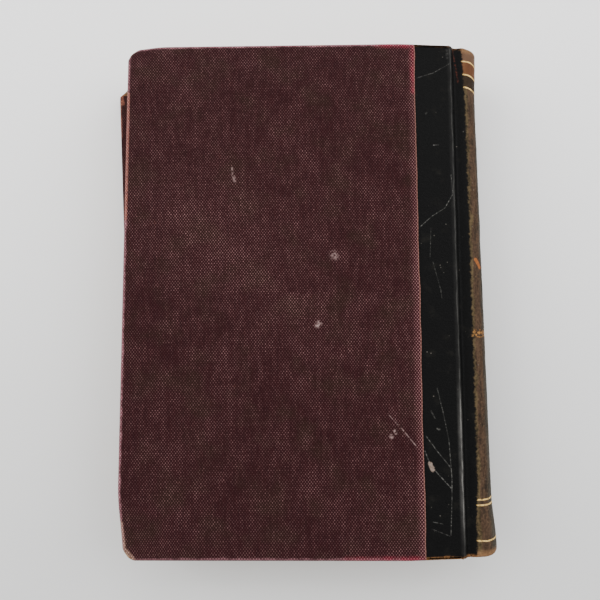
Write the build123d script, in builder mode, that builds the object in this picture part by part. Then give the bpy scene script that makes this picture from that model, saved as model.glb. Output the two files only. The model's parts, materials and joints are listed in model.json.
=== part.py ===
"""Quarter-leather hardback book, lying on its front cover with the rear cover up.

Each cover is a board with cloth round three of its sides. One piece of leather covers the spine and a
strip of both boards. The book is cocked from use: the front cover has slipped towards the fore edge and
turned against the rear cover, and every leaf between them is shifted and turned by its share.

Millimetres: +X to the spine, +Y to the head of the book, +Z up. The origin is on the surface that the
book lies on, under the middle of the whole book.
"""

from build123d import *
from math import cos, radians, sin, sqrt, tan
import os

# Covers
cover_height = 190.0  # head to tail
cover_width = 122.5  # fore edge to the edge of the board beside the joint
corner_radius = 4.5  # worn corners at the fore edge
board_thickness = 2.4
covering_thickness = 0.4  # cloth and leather alike, pressed flush
edge_softness = 0.6  # rounding of the board's edges
turn_in_width = 14.0  # covering folded onto the inner face of the board
leather_strip_width = 13.8  # leather that shows on each board
leather_tuck = 3.0  # margin of the leather that runs under the cloth
tuck_step = 1.0  # where that margin steps down beside the cloth's edge
seam_gap = 0.1  # between the cloth's cut edge and the leather

# Pages
pages_thickness = 20.5
head_square = 3.0  # cover beyond the pages at head and tail
fore_square = 3.5  # cover beyond the pages at the fore edge
fore_edge_hollow = 4.0
pages_bulge = 5.3  # roundness of the pages' spine
shoulder_run = 2.2  # backing of the pages at the joint
paper_thickness = 0.15
section_count = 9  # levels at which the turned pages are drawn

# Joint and spine
joint_width = 5.4  # board edge to the ridge of the spine
groove_place = 2.4  # board edge to the lowest line of the joint
groove_depth = 2.2  # below the cover's outer face
ridge_drop = 1.7  # ridge below the cover's outer face
spine_bulge = 8.0  # ridge to the roundest line of the spine
spine_squareness = 0.66  # 0.55 draws an ellipse, more draws a squarer back
page_roundness = 0.5523  # draws an ellipse
inlay_thickness = 0.5
spine_turn_in = 12.0  # leather folded inside the spine at head and tail
spine_turn_in_half = 8.0  # half the width of that fold, round the back
mull_thickness = 0.2
mull_wing = 20.0  # width of the lining glued to each board
mull_end_margin = 15.0  # lining is shorter than the pages at each end
band_width = 1.3
band_height = 1.5

# Cocking: half of what lies between the two covers
lean = 3.0  # shift of the rear cover towards the spine
twist = 1.52  # turn of the rear cover, head towards the spine, in degrees

# Clearances
glue_gap = 0.05  # between layers that are glued together
page_gap = 0.1  # between layers that only lie on each other

# Depths below a cover's outer face
board_outer = covering_thickness + glue_gap
board_inner = board_outer + board_thickness
turn_in_outer = board_inner + glue_gap
turn_in_inner = turn_in_outer + covering_thickness
pasted_inner = turn_in_inner + paper_thickness
leaf_outer = pasted_inner + page_gap
leaf_inner = leaf_outer + paper_thickness
pages_depth = leaf_inner + glue_gap

# Places across the book, from the middle of the covers, and heights from the middle of the book
half_height = cover_height / 2
fore_x = -cover_width / 2
board_x = cover_width / 2
seam_x = board_x - leather_strip_width
ridge_x = board_x + joint_width
fold_x = ridge_x - shoulder_run - glue_gap
page_fore_x = fore_x + fore_square
middle = pages_thickness / 2 + pages_depth
ridge_half = middle - ridge_drop
pages_half = pages_thickness / 2
pages_half_height = half_height - head_square
mull_half = middle - board_inner
mull_half_height = pages_half_height - mull_end_margin
shoulder_half = mull_half - mull_thickness - page_gap
window_x = fore_x + turn_in_width
window_half_height = half_height - turn_in_width

twist_sine = sin(radians(twist))
rear_plane = Plane((lean, 0, 2 * middle), x_dir=(cos(radians(twist)), -twist_sine, 0), z_dir=(0, 0, -1))
front_plane = Plane((-lean, 0, 0), x_dir=(cos(radians(twist)), twist_sine, 0), z_dir=(0, 0, 1))
cover_planes = {"rear": rear_plane, "front": front_plane}

# Slant of the spine's ends, which join the corners of the two turned covers
cover_end_slant = board_x * twist_sine / middle
pages_end_slant = (ridge_x + pages_bulge) * twist_sine / ridge_half


def section_plane(y, slant):
    """Plane across the book at y, leaning towards the tail by slant times the height."""
    upright = Vector(0, -slant, 1).normalized()
    across = Vector(1, 0, 0)
    return Plane((0, y, middle), x_dir=across, z_dir=across.cross(upright))


def place(point, y, slant):
    """A section point (x, v), v above the middle, shifted and turned by its share of the cocking."""
    x, v = point
    share = max(-1.0, min(1.0, v / ridge_half))
    if x < ridge_x and abs(v) > pages_half:
        share = 1.0 if v > 0 else -1.0
    shift = share * (lean + tan(radians(twist)) * (y - slant * v))
    return (x + shift, v * sqrt(1 + slant**2))


def mirrored(curves):
    """The curves reflected to the lower half, from their end to their start."""
    return [[(x, -v) for x, v in reversed(points)] for points in reversed(curves)]


def closed(outer, inner):
    """The outline between an outer and an inner run of curves."""
    return outer + [list(reversed(points)) for points in reversed(inner)]


def back_curve(half, bulge, roundness):
    """The rounded back, from the upper ridge to the lower one."""
    handle = (ridge_x + roundness * bulge, half)
    crown = (ridge_x + bulge, roundness * half)
    upper = [[(ridge_x, half), handle, crown, (ridge_x + bulge, 0)]]
    return upper + mirrored(upper)


def back_layer(depth):
    """The back of the covering at a depth inside the leather's outer face."""
    return back_curve(ridge_half - depth, spine_bulge - depth, spine_squareness)


def joint_layer(depth):
    """The leather over the upper joint, from just inside the board's edge to the ridge."""
    top = middle - depth
    bottom = middle - groove_depth - depth
    ridge = ridge_half - depth
    groove_x = board_x + groove_place
    fall_x = board_x + 0.4 * groove_place
    rise_x = groove_x + 0.4 * (ridge_x - groove_x)
    return [
        [(board_x - 1, top), (board_x, top)],
        [(board_x, top), (fall_x, top), (fall_x, bottom), (groove_x, bottom)],
        [(groove_x, bottom), (rise_x, bottom), (rise_x, ridge), (ridge_x, ridge)],
    ]


def lofted(curves, low_y, high_y, slant=cover_end_slant):
    """A solid whose cocked outline runs straight from low_y to high_y."""
    with BuildPart() as result:
        for y in (low_y, high_y):
            with BuildSketch(section_plane(y, slant)):
                with BuildLine():
                    last = place(curves[-1][-1], y, slant)
                    for points in curves:
                        placed = [place(point, y, slant) for point in points]
                        if (Vector(*last) - Vector(*placed[0])).length > 1e-6:
                            Line(last, placed[0])
                        if len(placed) == 2:
                            Line(*placed)
                        else:
                            Bezier(*placed)
                        last = placed[-1]
                make_face()
        loft(ruled=True)
    return result.part


def cover_box(plane, x_range, half_y, depths):
    """A box in a cover's own frame: a range of x, half its height along the spine, and two depths."""
    low_x, high_x = x_range
    with BuildPart() as box:
        with BuildSketch(plane.offset(depths[0])):
            with Locations(((low_x + high_x) / 2, 0)):
                Rectangle(high_x - low_x, 2 * half_y)
        extrude(amount=depths[1] - depths[0])
    return box.part


def cover_slab(plane, inset):
    """A cover without its joint, inset by the same amount from its faces and its three free edges."""
    softness = edge_softness + board_outer - inset
    with BuildPart() as slab:
        with BuildSketch(plane.offset(inset)) as outline:
            with Locations((inset / 2, 0)):
                Rectangle(cover_width - inset, cover_height - 2 * inset)
            fillet(outline.vertices().group_by(Axis.X)[0], corner_radius - inset)
        extrude(amount=turn_in_inner - 2 * inset)
        faces = slab.faces().sort_by(Axis.Z)
        rims = faces[0].edges() + faces[-1].edges()
        fillet([rim for rim in rims if plane.to_local_coords(rim.center()).X < board_x - 1e-3], softness)
    return slab.part


def tucked_margin(plane):
    """The leather's margin, pressed into the board under the cloth."""
    x_range = (seam_x - leather_tuck, seam_x + tuck_step)
    return cover_box(plane, x_range, window_half_height, (covering_thickness, 2 * covering_thickness))


def covering(plane, x_range):
    """The covering between two lines across a cover, wrapped round its free edges and turned in."""
    past_joint = 2 * board_x
    below = turn_in_inner + 1
    with BuildPart() as wrap:
        add(cover_slab(plane, 0))
        add(cover_slab(plane, covering_thickness), mode=Mode.SUBTRACT)
        window = cover_box(plane, (window_x, past_joint), window_half_height, (board_inner, below))
        add(window, mode=Mode.SUBTRACT)
        add(cover_box(plane, x_range, cover_height, (-1, below)), mode=Mode.INTERSECT)
    return wrap.part


def board(plane):
    """Board of one cover, with a shallow step for the leather's margin."""
    step_depths = (0, 2 * covering_thickness + glue_gap)
    step_x = (seam_x - leather_tuck - glue_gap, seam_x + tuck_step + glue_gap)
    with BuildPart() as result:
        add(cover_slab(plane, board_outer))
        step = cover_box(plane, step_x, window_half_height + glue_gap, step_depths)
        add(step, mode=Mode.SUBTRACT)
    return result.part


def infill(plane):
    """Paper that levels the inner face of a board inside its turn-ins."""
    x_range = (window_x + page_gap, board_x - mull_wing - page_gap)
    depths = (board_inner, turn_in_inner - glue_gap)
    return cover_box(plane, x_range, window_half_height - page_gap, depths)


def endpaper(plane):
    """One folded sheet: half pasted inside the board and half free on the pages."""
    sheet_half = half_height - head_square
    x_range = (page_fore_x, fold_x)
    fold_range = (fold_x - paper_thickness, fold_x)
    with BuildPart() as sheet:
        add(cover_box(plane, x_range, sheet_half, (turn_in_inner, pasted_inner)))
        add(cover_box(plane, x_range, sheet_half, (leaf_outer, leaf_inner)))
        add(cover_box(plane, fold_range, sheet_half, (turn_in_inner, leaf_inner)))
    return sheet.part


def leather():
    """Leather of the spine: one piece from board to board, folded in at head and tail."""
    inlay_room = covering_thickness + inlay_thickness + 2 * glue_gap
    outer = joint_layer(0) + back_layer(0) + mirrored(joint_layer(0))
    inner = joint_layer(covering_thickness)
    inner = inner + back_layer(covering_thickness) + mirrored(inner)
    lip = closed(back_layer(0), back_layer(inlay_room + covering_thickness))
    fold = closed(back_layer(inlay_room), back_layer(inlay_room + covering_thickness))
    joint_fold = closed(joint_layer(covering_thickness / 2), joint_layer(2 * covering_thickness))
    end_folds = []
    for end in (1, -1):
        edge_y = end * half_height
        lip_y = end * (half_height - covering_thickness)
        inside_y = end * (half_height - spine_turn_in)
        end_folds.append(lofted(lip, *sorted((lip_y, edge_y))))
        end_folds.append(lofted(joint_fold, *sorted((inside_y, edge_y))))
        end_folds.append(lofted(mirrored(joint_fold), *sorted((inside_y, edge_y))))
        with BuildPart() as back_fold:
            add(lofted(fold, *sorted((inside_y, lip_y))))
            with Locations((ridge_x, 0, middle)):
                Box(4 * spine_bulge, 2 * cover_height, 2 * spine_turn_in_half, mode=Mode.INTERSECT)
        end_folds.append(back_fold.part)
    with BuildPart() as result:
        add(lofted(closed(outer, inner), -half_height, half_height))
        for folded in end_folds:
            add(folded)
        for plane in cover_planes.values():
            board_room = (seam_x, board_x + page_gap)
            board_depths = (covering_thickness, turn_in_outer)
            add(cover_box(plane, board_room, half_height, board_depths), mode=Mode.SUBTRACT)
            add(covering(plane, (seam_x, board_x)))
            add(tucked_margin(plane))
    return result.part


def inlay():
    """Stiff paper inside the leather of the spine, which keeps the back round and hollow."""
    outer_depth = covering_thickness + glue_gap
    half = half_height - covering_thickness - glue_gap
    outline = closed(back_layer(outer_depth), back_layer(outer_depth + inlay_thickness))
    return lofted(outline, -half, half)


def pages():
    """All the leaves as one solid, turned level by level, with backed shoulders at the joints."""
    step = 180 / (section_count - 1)
    with BuildPart() as leaves:
        for index in range(section_count):
            level = pages_half * sin(radians(index * step - 90))
            share = level / ridge_half
            turn = radians(share * twist)
            spine_x = ridge_x + pages_bulge * sqrt(1 - (level / shoulder_half) ** 2)
            low_x = page_fore_x + fore_edge_hollow * (1 - (level / pages_half) ** 2)
            origin = (share * lean, 0, middle + level)
            with BuildSketch(Plane(origin, x_dir=(cos(turn), -sin(turn), 0), z_dir=(0, 0, 1))):
                with Locations(((low_x + spine_x) / 2, 0)):
                    Rectangle(spine_x - low_x, 2 * pages_half_height)
        loft()
    return leaves.part


def mull():
    """Open-weave lining round the spine of the pages, with a wing glued inside each board."""
    inner_half = mull_half - mull_thickness
    inner_bulge = pages_bulge + page_gap
    flat_x = (board_x - 1, ridge_x)
    outer = [[(x, mull_half) for x in flat_x]]
    inner = [[(x, inner_half) for x in flat_x]]
    outer_back = back_curve(mull_half, inner_bulge + mull_thickness, page_roundness)
    inner_back = back_curve(inner_half, inner_bulge, page_roundness)
    outline = closed(outer + outer_back + mirrored(outer), inner + inner_back + mirrored(inner))
    wing_x = (board_x - mull_wing, board_x)
    with BuildPart() as result:
        add(lofted(outline, -mull_half_height, mull_half_height, 0))
        for plane in cover_planes.values():
            wing_depths = (board_inner, board_inner + mull_thickness)
            add(cover_box(plane, wing_x, mull_half_height, wing_depths))
    return result.part


def band(end):
    """Sewn band glued across the end of the pages' spine; end is +1 at the head and -1 at the tail."""
    outer = back_curve(shoulder_half, pages_bulge, page_roundness)
    inner = back_curve(shoulder_half - band_width, pages_bulge - band_width, page_roundness)
    near_y = end * (pages_half_height + 3 * page_gap)
    far_y = near_y + end * band_height
    return lofted(closed(outer, inner), *sorted((near_y, far_y)), pages_end_slant)


finished = {}
for side, cover_plane in cover_planes.items():
    finished[side + "_board"] = board(cover_plane)
    finished[side + "_cloth"] = covering(cover_plane, (2 * fore_x, seam_x - seam_gap))
    finished[side + "_infill"] = infill(cover_plane)
    finished[side + "_endpaper"] = endpaper(cover_plane)
finished["spine_leather"] = leather()
finished["spine_inlay"] = inlay()
finished["pages"] = pages()
finished["mull_lining"] = mull()
finished["head_band"] = band(1)
finished["tail_band"] = band(-1)

whole = Compound(children=list(finished.values())).bounding_box()
to_origin = Location((-whole.center().X, -whole.center().Y, 0))

os.makedirs("parts", exist_ok=True)
for piece_name, piece in finished.items():
    with BuildPart() as placed_piece:
        add(piece.moved(to_origin))
    placed_piece.part.label = piece_name
    export_step(placed_piece.part, f"parts/{piece_name}.step")
    print(piece_name, len(piece.solids()), round(piece.volume, 1), piece.is_valid)
print("origin", to_origin.position.X, to_origin.position.Y, whole.size)
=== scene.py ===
import json
from math import atan2, cos, pi, radians, sin

import bpy
import numpy as np
from mathutils import Euler, Matrix, Vector


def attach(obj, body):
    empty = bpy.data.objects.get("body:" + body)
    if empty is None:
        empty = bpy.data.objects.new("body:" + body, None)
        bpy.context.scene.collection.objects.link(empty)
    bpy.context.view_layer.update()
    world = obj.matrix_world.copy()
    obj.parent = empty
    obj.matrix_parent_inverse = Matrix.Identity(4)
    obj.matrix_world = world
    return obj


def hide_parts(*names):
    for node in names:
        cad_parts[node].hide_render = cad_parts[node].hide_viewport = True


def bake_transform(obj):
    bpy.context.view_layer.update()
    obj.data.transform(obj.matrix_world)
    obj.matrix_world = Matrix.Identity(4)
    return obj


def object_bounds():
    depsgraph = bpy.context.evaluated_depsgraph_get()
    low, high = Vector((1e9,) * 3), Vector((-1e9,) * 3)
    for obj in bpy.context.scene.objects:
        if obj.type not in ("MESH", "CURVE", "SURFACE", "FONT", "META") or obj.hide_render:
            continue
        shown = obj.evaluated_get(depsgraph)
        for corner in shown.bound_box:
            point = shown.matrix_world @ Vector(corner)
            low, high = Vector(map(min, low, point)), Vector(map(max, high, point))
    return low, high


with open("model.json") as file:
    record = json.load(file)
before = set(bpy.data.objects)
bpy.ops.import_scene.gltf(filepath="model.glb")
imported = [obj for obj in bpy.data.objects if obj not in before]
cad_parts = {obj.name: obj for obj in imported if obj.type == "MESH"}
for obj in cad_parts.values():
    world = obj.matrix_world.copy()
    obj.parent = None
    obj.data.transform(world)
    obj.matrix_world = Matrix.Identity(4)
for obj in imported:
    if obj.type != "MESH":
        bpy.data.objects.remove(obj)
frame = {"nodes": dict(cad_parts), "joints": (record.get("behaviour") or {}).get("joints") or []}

MM = 0.001
cad_low, cad_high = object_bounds()

# The book's sizes, in millimetres. u runs across the book from the middle of its covers to the spine,
# y from tail to head, and v up from the middle of its thickness. These are the CAD model's.
COVER_WIDTH = 122.5
COVER_HEIGHT = 190.0
CORNER_RADIUS = 4.5
COVER_DEPTH = 3.3
EDGE_RADIUS = 1.05
TURN_IN = 14.0
LEATHER_STRIP = 13.8
JOINT_WIDTH = 5.4
GROOVE_PLACE = 2.4
GROOVE_DEPTH = 2.2
RIDGE_DROP = 1.7
SPINE_BULGE = 8.0
SPINE_SQUARENESS = 0.66
PAGES_THICKNESS = 20.5
HEAD_SQUARE = 3.0
FORE_SQUARE = 3.5
FORE_EDGE_HOLLOW = 4.0
PAGES_BULGE = 5.3
SHOULDER_HALF = 10.85
PASTED_DEPTH = 3.3
PAPER = 0.15
LEAF_DEPTH = 3.55
FOLD_INSET = 2.25
MULL_DEPTH = 2.85
MULL_HALF_HEIGHT = 77.0
MULL_WING = 20.0
BOARD_OUTER = 0.45
BOARD_INNER = 2.85

# These belong to the pieces made here, and differ from the CAD model
COVERING = 0.34  # cloth and leather
JOINT_FOLD_DEPTH = 1.0  # how far in the joint's leather is folded at head and tail
LEATHER_TURN_IN = 12.5
LINING_THICKNESS = 0.18
BAND_RADIUS = 0.45
BAND_INSET = 0.9  # from the pages' shoulders and from their round spine
CORNER_WEAR = {"rear": 0.05, "front": 0.36}  # share of a corner's radius; "front" is its head corner
HEAD_CORNER_DROP = {"rear": 1.3, "front": 1.2}  # towards the tail
HEAD_CORNER_REACH = 15.0
TAIL_CORNER_PULL = {"rear": 2.3, "front": 0.8}  # towards the spine
TAIL_CORNER_REACH = 26.0
HEADCAP_DROP = 1.4
HEADCAP_REACH = 6.3
TAILCAP_RISE = 1.0
TAILCAP_REACH = 6.0
BACK_SLIP = 0.6  # the middle of the back towards the tail
BACK_SLIP_GROWTH = 0.0105  # more at the head, for each mm
STIFFENER_DEPTH = 0.55
STIFFENER_THICKNESS = 0.45
STIFFENER_HALF = 15.0  # round the back, from its crown
STIFFENER_HALF_HEIGHT = 90.8

HALF_HEIGHT = COVER_HEIGHT / 2
FORE_U = -COVER_WIDTH / 2
BOARD_U = COVER_WIDTH / 2
SEAM_U = BOARD_U - LEATHER_STRIP
RIDGE_U = BOARD_U + JOINT_WIDTH
PAGE_FORE_U = FORE_U + FORE_SQUARE
FOLD_U = RIDGE_U - FOLD_INSET

# The lean and turn of the covers come from their hinges
hinges = {joint["name"]: joint for joint in frame["joints"]}
rear_hinge = np.array(hinges["rear_hinge"]["pos_m"]) / MM
front_hinge = np.array(hinges["front_hinge"]["pos_m"]) / MM
hinge_axis = hinges["rear_hinge"]["axis"]
TWIST = atan2(hinge_axis[0], hinge_axis[1])
LEAN = (rear_hinge[0] - front_hinge[0]) / 2
MIDDLE_X = (rear_hinge[0] + front_hinge[0]) / 2 - RIDGE_U * cos(TWIST)
MIDDLE = (cad_high.z - cad_low.z) / MM / 2
RIDGE_HALF = MIDDLE - RIDGE_DROP


def cock(u, y, v, share=None):
    """World points of (u, y, v), turned and shifted by their share of the book's lean."""
    u, y, v = np.broadcast_arrays(u, y, v)
    if share is None:
        share = np.clip(v / RIDGE_HALF, -1, 1)
    turn = share * TWIST
    x = MIDDLE_X + share * LEAN + u * np.cos(turn) + y * np.sin(turn)
    return np.stack([x, y * np.cos(turn) - u * np.sin(turn), MIDDLE + v], axis=-1) * MM


# Mesh tools
def value_noise(x, y, size, seed):
    """Smooth random values from -1 to 1, with features of about that size."""
    table = np.random.RandomState(seed).uniform(-1, 1, (64, 64))
    gx, gy = np.broadcast_arrays(np.asarray(x) / size, np.asarray(y) / size)
    ix, iy = np.floor(gx).astype(int), np.floor(gy).astype(int)
    fx, fy = gx - ix, gy - iy
    fx, fy = fx * fx * (3 - 2 * fx), fy * fy * (3 - 2 * fy)
    low = table[ix % 64, iy % 64] * (1 - fx) + table[(ix + 1) % 64, iy % 64] * fx
    high = table[ix % 64, (iy + 1) % 64] * (1 - fx) + table[(ix + 1) % 64, (iy + 1) % 64] * fx
    return low * (1 - fy) + high * fy


def smooth_step(value, low, high):
    """Smooth rise from 0 to 1 while the value goes from low to high, which may be the smaller."""
    t = np.clip((value - low) / (high - low), 0, 1)
    return t * t * (3 - 2 * t)


def make_object(name, points, faces, material, uv=None):
    """A mesh object. With one flat coordinate for each point it is smooth, and without it faceted."""
    mesh = bpy.data.meshes.new(name)
    mesh.from_pydata(points.tolist(), [], faces)
    if uv is not None:
        layer = mesh.uv_layers.new(name="Flat")
        loops = np.empty(len(mesh.loops), dtype=np.int32)
        mesh.loops.foreach_get("vertex_index", loops)
        layer.data.foreach_set("uv", uv[loops].astype(np.float32).ravel())
        mesh.polygons.foreach_set("use_smooth", [True] * len(mesh.polygons))
    mesh.materials.append(material)
    mesh.update()
    made = bpy.data.objects.new(name, mesh)
    bpy.context.scene.collection.objects.link(made)
    return made


def grid_normals(grid):
    """Unit normals of a grid of points."""
    normal = np.cross(np.gradient(grid, axis=0), np.gradient(grid, axis=1))
    length = np.linalg.norm(normal, axis=-1, keepdims=True)
    return np.where(length > 1e-12, normal / np.maximum(length, 1e-12), np.array([0.0, 0.0, 1.0]))


def grid_faces(rows, columns, start=0):
    """Four-sided faces over a grid of points that are numbered from start."""
    index = np.arange(rows * columns).reshape(rows, columns) + start
    corners = (index[:-1, :-1], index[1:, :-1], index[1:, 1:], index[:-1, 1:])
    return np.stack(corners, axis=-1).reshape(-1, 4)


def flat_places(across, y):
    """Flat coordinates of a grid, from the distance across it and the places along it."""
    return np.stack([np.broadcast_to(across[:, None], y.shape), y], axis=-1)


def thick_sheet(name, grid, uv, thickness, material, outward):
    """A closed sheet: grid is its outer face, and outward(normals) is True where the grid faces out."""
    if not outward(grid_normals(grid)):
        grid = grid[:, ::-1]
        uv = uv[:, ::-1]
    rows, columns = grid.shape[:2]
    inner = grid - grid_normals(grid) * thickness * MM
    count = rows * columns
    index = np.arange(count).reshape(rows, columns)
    rim = np.concatenate([index[0, :-1], index[:-1, -1], index[-1, :0:-1], index[:0:-1, 0]])
    following = np.roll(rim, -1)
    walls = np.stack([rim + count, following + count, following, rim], axis=-1)
    faces = np.concatenate([grid_faces(rows, columns), grid_faces(rows, columns, count)[:, ::-1], walls])
    points = np.concatenate([grid.reshape(-1, 3), inner.reshape(-1, 3)])
    flat = np.concatenate([uv.reshape(-1, 2)] * 2)
    made = make_object(name, points, faces.tolist(), material, flat)
    # Flat rim walls leave the shading of both faces true up to the rim
    for wall in made.data.polygons[len(faces) - len(walls):]:
        wall.use_smooth = False
    return made


def bezier(points, count):
    """Points along a cubic curve, without its first point."""
    t = np.linspace(0, 1, count + 1)[1:, None]
    a, b, c, d = (np.array(point, float) for point in points)
    return a * (1 - t) ** 3 + 3 * b * t * (1 - t) ** 2 + 3 * c * t**2 * (1 - t) + d * t**3


def edge_wrap(distance, radius, depth, turn_in):
    """How a sheet wraps an edge: (place beyond the face, depth) at each distance past the face."""
    quarter = pi * radius / 2
    side = depth - 2 * radius
    first = np.clip(distance / quarter, 0, 1) * pi / 2
    second = np.clip((distance - quarter - side) / quarter, 0, 1) * pi / 2
    down = np.clip(distance - quarter, 0, side)
    inward = np.clip(distance - 2 * quarter - side, 0, None)
    inward = np.minimum(inward, TURN_IN) / TURN_IN * turn_in
    beyond = radius * (np.sin(first) + np.cos(second) - 1) - inward
    return beyond, radius * (1 - np.cos(first)) + down + radius * np.sin(second)


def wrap_lines(radius, depth, turn_in):
    """Distances past a face at which a wrapped sheet has its lines."""
    quarter = pi * radius / 2
    side = depth - 2 * radius
    ends = np.cumsum([0, quarter, side, quarter, turn_in])
    steps = (4, 2, 4, 7)
    return np.concatenate([np.linspace(a, b, n + 1)[1:] for a, b, n in zip(ends, ends[1:], steps)])


def stacked_rings(name, rings, material, uv=None):
    """A closed solid through rings of points, one above the other."""
    index = np.arange(rings.shape[0] * rings.shape[1]).reshape(rings.shape[:2])
    following = np.roll(index, -1, axis=1)
    walls = np.stack([index[:-1], following[:-1], following[1:], index[1:]], axis=-1).reshape(-1, 4)
    faces = walls.tolist() + [index[0, ::-1].tolist(), index[-1].tolist()]
    return make_object(name, rings.reshape(-1, 3), faces, material, uv)


def spaced(low, high, step):
    """Places from low to high, about a step apart."""
    return np.linspace(low, high, max(2, int(round((high - low) / step)) + 1))


# Material tools
class Tree:
    """Adds nodes to a node tree. Each method but node and feed returns a socket."""

    def __init__(self, tree):
        self.tree = tree

    def node(self, kind, **settings):
        made = self.tree.nodes.new(kind)
        for key, value in settings.items():
            setattr(made, key, value)
        return made

    def feed(self, socket, value):
        if isinstance(value, bpy.types.NodeSocket):
            self.tree.links.new(value, socket)
        else:
            socket.default_value = value

    def made(self, kind, output, inputs, **settings):
        """One output of a new node, whose inputs are fed by name or number."""
        node = self.node(kind, **settings)
        for key, value in inputs.items():
            self.feed(node.inputs[key], value)
        return node.outputs[output]

    def math(self, operation, *values, **settings):
        return self.made("ShaderNodeMath", 0, dict(enumerate(values)), operation=operation, **settings)

    def vector_math(self, operation, inputs, output=0):
        return self.made("ShaderNodeVectorMath", output, inputs, operation=operation)

    def add(self, a, b):
        return self.math("ADD", a, b)

    def times(self, a, b):
        return self.math("MULTIPLY", a, b)

    def away(self, value, place):
        return self.math("ABSOLUTE", self.math("SUBTRACT", value, place))

    def most(self, *values):
        result = values[0]
        for value in values[1:]:
            result = self.math("MAXIMUM", result, value)
        return result

    def step(self, value, low, high, start=0.0, end=1.0):
        """Smooth rise from start to end while the value goes from low to high."""
        inputs = dict(enumerate((value, low, high, start, end)))
        return self.made("ShaderNodeMapRange", 0, inputs, interpolation_type="SMOOTHSTEP")


class Surface(Tree):
    """A procedural material under construction. Its colours are linear unless a method says sRGB."""

    def __init__(self, name):
        self.material = bpy.data.materials.new(name)
        self.material.use_nodes = True
        super().__init__(self.material.node_tree)
        self.tree.nodes.clear()
        output = self.node("ShaderNodeOutputMaterial")
        self.shader = self.node("ShaderNodeBsdfPrincipled")
        self.tree.links.new(self.shader.outputs["BSDF"], output.inputs["Surface"])

    def set(self, name, value):
        self.feed(self.shader.inputs[name], value)

    def finish(self, base, roughness, height, distance, strength):
        """Sets the colour, roughness and bump, and gives the material."""
        self.set("Base Color", base)
        self.set("Roughness", roughness)
        inputs = {"Height": height, "Distance": distance, "Strength": strength}
        self.set("Normal", self.made("ShaderNodeBump", "Normal", inputs))
        return self.material

    def flat(self):
        """Place on the flat sheet, in mm, which bending leaves alone."""
        return self.node("ShaderNodeUVMap", uv_map="Flat").outputs[0]

    def placed(self):
        """Place on the object, in metres."""
        return self.node("ShaderNodeTexCoord").outputs["Object"]

    def parts(self, vector):
        split = self.node("ShaderNodeSeparateXYZ")
        self.feed(split.inputs[0], vector)
        return split.outputs[0], split.outputs[1], split.outputs[2]

    def scaled(self, vector, scale):
        return self.made("ShaderNodeMapping", 0, {"Vector": vector, "Scale": scale})

    def mix(self, factor, low, high):
        inputs = {0: factor, 6: low, 7: high}
        return self.made("ShaderNodeMix", 2, inputs, data_type="RGBA", clamp_factor=True)

    def paint(self, mask, base, pattern, dark, light):
        """The base, covered where the mask is 1 by two sRGB colours that follow the pattern."""
        return self.mix(mask, base, self.mix(pattern, colour(*dark), colour(*light)))

    def noise(self, vector, size, detail=2.0, roughness=0.5):
        """Noise with features of about that size, around 0.5."""
        inputs = {"Vector": vector, "Scale": 1.0 / size, "Detail": detail, "Roughness": roughness}
        return self.made("ShaderNodeTexNoise", 0, inputs)

    def cells(self, vector, size):
        """Distance to the nearest of scattered points, about that size apart."""
        return self.made("ShaderNodeTexVoronoi", 0, {"Vector": vector, "Scale": 1.0 / size})

    def line(self, place, first, second, width):
        """1 along a line between two places (across, y), falling to 0 at that width from it."""
        inputs = {"Place": place, "Start": (*first, 0), "End": (*second, 0), "Width": width}
        return self.made("ShaderNodeGroup", 0, inputs, node_tree=MARK)


def colour(red, green, blue):
    """A linear colour from sRGB values of 0 to 255."""
    channels = [c / 255 for c in (red, green, blue)]
    linear = [c / 12.92 if c <= 0.04045 else ((c + 0.055) / 1.055) ** 2.4 for c in channels]
    return (*linear, 1.0)


def mark_group():
    """A node group: 1 along a line from Start to End, falling to 0 at Width from it."""
    tree = bpy.data.node_groups.new("mark_line", "ShaderNodeTree")
    face = tree.interface
    for name, kind in (("Place", "Vector"), ("Start", "Vector"), ("End", "Vector"), ("Width", "Float")):
        face.new_socket(name, in_out="INPUT", socket_type="NodeSocket" + kind)
    face.new_socket("Mask", in_out="OUTPUT", socket_type="NodeSocketFloat")
    t = Tree(tree)
    source = t.node("NodeGroupInput").outputs
    target = t.node("NodeGroupOutput")
    offset = t.vector_math("SUBTRACT", {0: source["Place"], 1: source["Start"]})
    run = t.vector_math("SUBTRACT", {0: source["End"], 1: source["Start"]})
    along = t.vector_math("DOT_PRODUCT", {0: offset, 1: run}, "Value")
    whole = t.vector_math("DOT_PRODUCT", {0: run, 1: run}, "Value")
    reached = t.math("DIVIDE", along, whole, use_clamp=True)
    nearest = t.vector_math("SUBTRACT", {0: offset, 1: t.vector_math("SCALE", {0: run, 3: reached})})
    distance = t.vector_math("LENGTH", {0: nearest}, "Value")
    t.feed(target.inputs[0], t.step(distance, 0.0, source["Width"], 1.0, 0.0))
    return tree


MARK = mark_group()


def marks(surface, place, lines):
    """The strongest of several line marks, each (u1, y1, u2, y2, width, strength)."""
    masks = []
    for u1, y1, u2, y2, width, strength in lines:
        masks.append(surface.times(surface.line(place, (u1, y1), (u2, y2), width), strength))
    return surface.most(*masks)


# Materials
THREAD_U = 0.51
THREAD_Y = 0.66


def weave(s, place, u, y):
    """Plain weave: 1 on the raised threads, 0 between them, and its height."""
    wobble = s.times(s.add(s.noise(place, 4.0), -0.5), 0.3)
    warp = s.math("SINE", s.times(s.add(u, wobble), pi / THREAD_U))
    weft = s.math("SINE", s.times(s.add(y, wobble), pi / THREAD_Y))
    crossing = s.times(warp, weft)
    return s.step(crossing, 0.05, 0.75), crossing


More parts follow.
